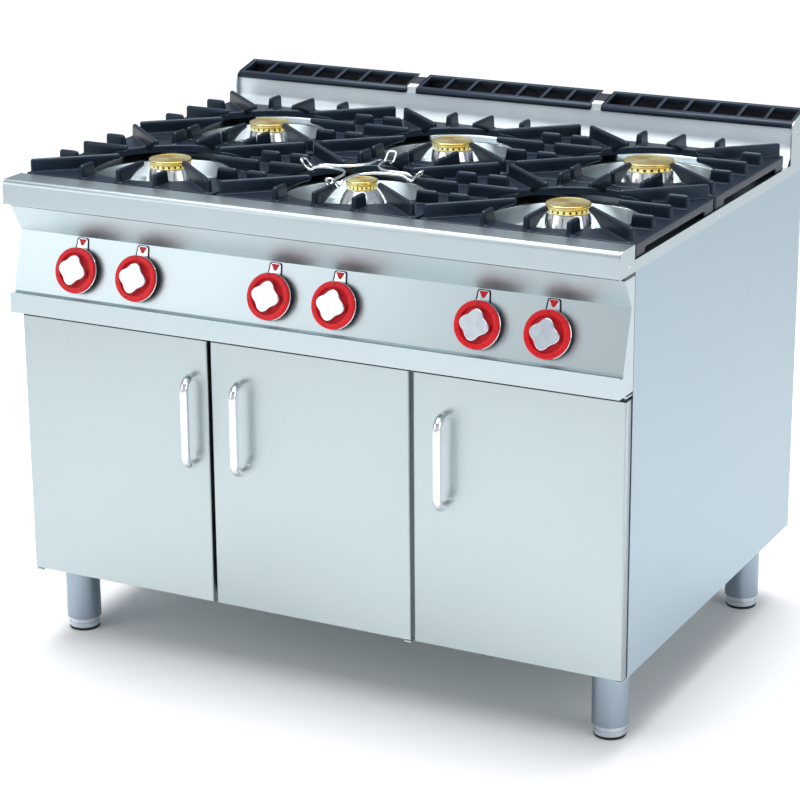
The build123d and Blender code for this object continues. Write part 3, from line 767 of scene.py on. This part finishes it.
def grate_pattern(half_x, half_y, foot):
    """A whole cast grate about its burner: a plate with a skirt and a collar, and sixteen ribs.

    They are run together as cast.
    """
    skirt, notch, notch_top, beyond = 0.006, 0.135, foot + 0.011, 0.01
    plate = slab("plate", (-half_x, -half_y, foot), (half_x, half_y, PLATE_TOP))
    with editing(plate):
        pick("edges", lambda co, run: abs(run.normalized().z) > 0.9)
        bpy.ops.mesh.bevel(offset=0.006, segments=4)
    cut(plate, slab("under", (-half_x + skirt, -half_y + skirt, foot - beyond),
                    (half_x - skirt, half_y - skirt, PLATE_TOP - 0.006)))
    cut(plate, slab("notch", (-half_x - beyond, -notch, foot - beyond),
                    (half_x + beyond, notch, notch_top)))
    cut(plate, slab("notch", (-notch, -half_y - beyond, foot - beyond),
                    (notch, half_y + beyond, notch_top)))
    cut(plate, turned("mouth", [(OPENING, 0.86), (OPENING, 0.92)], 96))
    collar = turned("collar", [(OPENING + 0.006, 0.8860), (OPENING + 0.006, 0.9002)], 96)
    cut(collar, turned("mouth", [(OPENING, 0.86), (OPENING, 0.92)], 96))
    corner = degrees(atan2(half_y, half_x))
    ribs = around(grate_fin(half_x - 0.007), (0, 180))
    ribs += around(grate_fin(half_y - 0.002), (90, 270))
    ribs += around(grate_fin(hypot(half_x, half_y) - 0.010),
                   (corner, 180 - corner, 180 + corner, -corner))
    ribs += around(grate_stub(half_x - 0.007), (0, 180), STUB_SIDES)
    ribs += around(grate_stub(half_y - 0.002), (90, 270), STUB_SIDES)
    grate = join("grate_casting", plate, collar, *ribs)
    modify(grate, "REMESH", mode="VOXEL", voxel_size=0.0019, use_smooth_shade=True)
    modify(grate, "SMOOTH", factor=0.5, iterations=4)
    modify(grate, "DECIMATE", ratio=0.42)
    only(grate)
    bpy.ops.object.shade_smooth()
    return grate


def fit_grates():
    low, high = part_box("grate_1")
    pattern = grate_pattern((high.x - low.x) / 2, (high.y - low.y) / 2, low.z)
    for number in BURNERS:
        node = f"grate_{number}"
        put(pattern, number, under(node), node, "cast_iron", IRON, node)
    discard(pattern)


# ------------------------------------------------------------------ trivet
def fit_trivet():
    """Sprung wire cross on the small burner, with kinked and lifted tips."""
    wire, arm, waist, reach, level = 0.00225, 0.0086, 0.052, 0.1195, FIN_TOP + 0.00235
    quarter = []
    for step in range(7):
        heading = radians(180 + 90 * step / 6)
        quarter.append((arm + waist + waist * cos(heading), arm + waist + waist * sin(heading), 0))
    arm_run = [(0.088, -0.0005), (0.096, -0.0070), (0.1035, -0.0085), (0.112, -0.0010),
               (reach - 0.003, 0.0060)]
    points = []
    for turn in range(4):
        out = [(along, arm, lift) for along, lift in arm_run]
        tip = [(reach + 0.0015, arm * 0.55, 0.0085), (reach + 0.0015, -arm * 0.55, 0.0085)]
        loop = [(along, -arm, lift) for along, lift in arm_run]
        loop += list(reversed(tip)) + list(reversed(out))
        for x, y, z in loop + list(reversed(quarter)):
            c, s = cos(turn * pi / 2), sin(turn * pi / 2)
            points.append((x * c - y * s, x * s + y * c, z))
    data = bpy.data.curves.new("trivet_wire", "CURVE")
    data.dimensions = "3D"
    data.bevel_depth = wire
    data.bevel_resolution = 4
    data.resolution_u = 4
    spline = data.splines.new("NURBS")
    spline.points.add(len(points) - 1)
    for point, (x, y, z) in zip(spline.points, points):
        point.co = (x, y, level + z, 1)
    spline.order_u = 3
    spline.use_cyclic_u = True
    spline.resolution_u = 4
    trivet = bpy.data.objects.new("trivet_wire", data)
    bpy.context.collection.objects.link(trivet)
    only(trivet)
    bpy.ops.object.convert(target="MESH")
    trivet = start("trivet_wire")
    close_up(trivet, 60)
    settle(trivet, under("trivet"))
    fit_out(trivet, "trivet", "bright_chrome", CHROME, "trivet")


# ------------------------------------------------------------------ doors
def bend_round(x, y, z):
    """In edit mode, carry the selected face a quarter turn round an axis along X."""
    bpy.ops.mesh.spin(steps=10, angle=pi / 2, center=(x, y, z), axis=(1, 0, 0))


def fit_handles():
    """Bent tube handles: a circle pushed out, spun round a bend, run up and spun back."""
    radius, bend = 0.008, 0.024
    for number in (1, 2, 3):
        low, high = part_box(f"door_handle_{number}")
        x = (low.x + high.x) / 2
        face, out = high.y, low.y + radius
        bottom, top = low.z + radius, high.z - radius
        handle = disc(f"handle_tube_{number}", radius, 28, (x, face, bottom), (pi / 2, 0, 0))
        with editing(handle):
            bpy.ops.mesh.select_all(action="SELECT")
            extrude(0, out + bend - face, 0)
            bend_round(x, out + bend, bottom + bend)
            extrude(0, 0, top - bottom - 2 * bend)
            bend_round(x, out + bend, top - bend)
            extrude(0, face - out - bend, 0)
        close_up(handle, 50)
        fit_out(handle, f"door_{number}", "bright_chrome", CHROME, f"door_handle_{number}")


def fit_door_skins():
    """Folded door skins, shaded smooth round their rolled edges."""
    for number in (1, 2, 3):
        skin = copy_of(frame["nodes"][f"door_skin_{number}"], f"door_front_{number}")
        close_up(skin, 40)
        fit_out(skin, f"door_{number}", "stainless", None, f"door_skin_{number}")


# ------------------------------------------------------------------ flue
def fit_flue_grilles():
    """Cast grilles: a sloping slab with a rounded front lip and seven slots."""
    slots, bar, thick = 7, 0.007, 0.010
    for number in (1, 2, 3):
        low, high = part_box(f"flue_grille_{number}")
        grille = slab(f"flue_casting_{number}", (low.x, low.y, high.z - thick), high)
        with editing(grille):
            pick("verts", lambda co: co.y < (low.y + high.y) / 2)
            shift(0, 0, low.z + thick - 0.0010 - high.z)
            pick("edges", lambda co, run: co.y < low.y + 0.001 and co.z > low.z + 0.005
                 and abs(run.normalized().x) > 0.9)
            bpy.ops.mesh.bevel(offset=0.0055, segments=6)
        pitch = (high.x - low.x - bar) / slots
        for index in range(slots):
            left = low.x + bar + index * pitch
            cut(grille, slab("slot", (left, low.y + 0.0135, low.z - 0.02),
                             (left + pitch - bar, high.y - 0.007, high.z + 0.01)))
        ease_edges(grille, 0.0011, 2, 40)
        close_up(grille, 40)
        fit_out(grille, f"flue_grille_{number}", "cast_iron", IRON, f"flue_grille_{number}")


# ------------------------------------------------------------------ feet and screws
def fit_feet():
    """Turned foot inserts with a locating ring, on black soles."""
    insert = turned("foot_insert", [
        (0.0262, 0.0046), (0.0284, 0.0050), (0.0290, 0.0058), (0.0290, 0.0142),
        (0.0280, 0.0148), (0.0280, 0.0156), (0.0290, 0.0162), (0.0290, 0.0700),
        (0.0275, 0.0720)])
    sole = turned("foot_sole", [
        (0.0255, 0.0), (0.0280, 0.0004), (0.0290, 0.0018), (0.0290, 0.0040), (0.0280, 0.0048)])
    for number in (1, 2, 3, 4):
        node = f"foot_{number}"
        put(insert, number, under(node), node, "foot_steel", SATIN, node)
        put(sole, number, under(node), node, "rubber", RUBBER, node)
    discard(insert, sole)


TRIM_FACE = 0.5983
SCREW_SPOTS = ((-0.408, 0.868), (0.003, 0.862), (0.407, 0.933))


def fit_screws():
    """Slotted pan-head screws, sunk in the side trims."""
    head = turned("trim_screw", [
        (0.0036, 0.0), (0.0038, 0.0002), (0.0038, 0.0008), (0.0033, 0.0013), (0.0022, 0.0016),
        (0.0008, 0.0017)], 32)
    cut(head, slab("slot", (-0.0045, -0.0004, 0.0009), (0.0045, 0.0004, 0.0030)))
    for side, label in ((-1, "left"), (1, "right")):
        for index, (y, z) in enumerate(SCREW_SPOTS, 1):
            screw = copy_of(head, f"trim_screw_{label}_{index}")
            settle(screw, turn=(0, 0, radians(30 * index)))
            settle(screw, (side * TRIM_FACE, y, z), (0, side * pi / 2, 0))
            fit_out(screw, "cabinet", "steel", CHROME, "screws")
    discard(head)


fit_knobs()
fit_burners()
fit_grates()
fit_trivet()
fit_handles()
fit_door_skins()
fit_flue_grilles()
fit_feet()
fit_screws()


# ------------------------------------------------------------------ scene
FRONT_AIR = (0.92, 0.96, 1.0, 1)
BACK_AIR = (0.42, 0.48, 0.56, 1)
ZENITH_AIR = (0.42, 0.46, 0.52, 1)


def studio():
    """Pale floor, air that is brightest towards the front, and soft boxes."""
    bpy.ops.object.select_all(action="DESELECT")
    bpy.ops.mesh.primitive_plane_add(size=60, location=(0, 0, 0))
    floor = bpy.context.active_object
    floor.name = "studio_floor"
    paper = Finish("pale_floor", Roughness=0.9, Specular_IOR_Level=0.1, Emission_Color=grey(1.0),
                   Emission_Strength=0.02)
    mottle = paper.noise(paper.place(), 3.0)
    paper.set(Base_Color=paper.between(mottle, grey(0.86), grey(0.88)))
    floor.data.materials.append(paper.material)

    world = bpy.data.worlds.new("studio_air")
    bpy.context.scene.world = world
    bpy.context.scene.view_settings.view_transform = "Standard"
    world.use_nodes = True
    air = Nodes(world.node_tree)
    where = air.node("TexCoord", out="Generated")
    horizon = air.between(air.share(air.part(where, "Y"), -0.6, 0.8), FRONT_AIR, BACK_AIR)
    sky = air.between(air.share(air.part(where, "Z"), 0.25, 0.75), horizon, ZENITH_AIR)
    background = air.tree.nodes["Background"].inputs
    air.feed(background["Color"], sky)
    air.feed(background["Strength"], 0.72)

    boxes = [
        ("top_box", (0.0, -0.5, 3.4), (0, -0.2, 0.6), (3.6, 4.2), 95),
        ("front_left_box", (-2.6, -3.4, 2.2), (0, 0, 0.5), (2.2, 2.2), 26),
        ("right_box", (3.6, -0.8, 1.9), (0.4, 0, 0.5), (1.8, 2.4), 22),
    ]
    for name, spot, aim, size, power in boxes:
        bpy.ops.object.light_add(type="AREA", location=spot)
        lamp = bpy.context.active_object
        lamp.name = name
        lamp.data.shape = "RECTANGLE"
        lamp.data.size, lamp.data.size_y = size
        lamp.data.energy = power
        lamp.rotation_euler = (Vector(aim) - Vector(spot)).to_track_quat("-Z", "Y").to_euler()
    bpy.ops.object.light_add(type="SUN", location=(0, 0, 4),
                             rotation=(radians(-14), radians(-8), 0))
    high_sun = bpy.context.active_object
    high_sun.name = "high_softbox"
    high_sun.data.energy = 2.5
    high_sun.data.angle = radians(38)


def camera():
    """A long lens from the front right, a little above the hob."""
    heading, fall, roll = radians(27.27), radians(17.31), radians(-0.37)
    forward = Vector((-sin(heading) * cos(fall), cos(heading) * cos(fall), -sin(fall)))
    right = Vector((cos(heading), sin(heading), 0))
    up = right.cross(forward)
    right_rolled = right * cos(roll) + up * sin(roll)
    up_rolled = up * cos(roll) - right * sin(roll)
    bpy.ops.object.camera_add(location=(2.1311, -4.1769, 1.9537))
    lens = bpy.context.active_object
    lens.name = "camera"
    turn = Matrix((right_rolled, up_rolled, -forward)).transposed()
    lens.rotation_euler = turn.to_euler()
    lens.data.sensor_width = 36.0
    lens.data.lens = 117.0
    lens.data.shift_x = -0.005
    lens.data.shift_y = -0.034
    bpy.context.scene.camera = lens


studio()
camera()
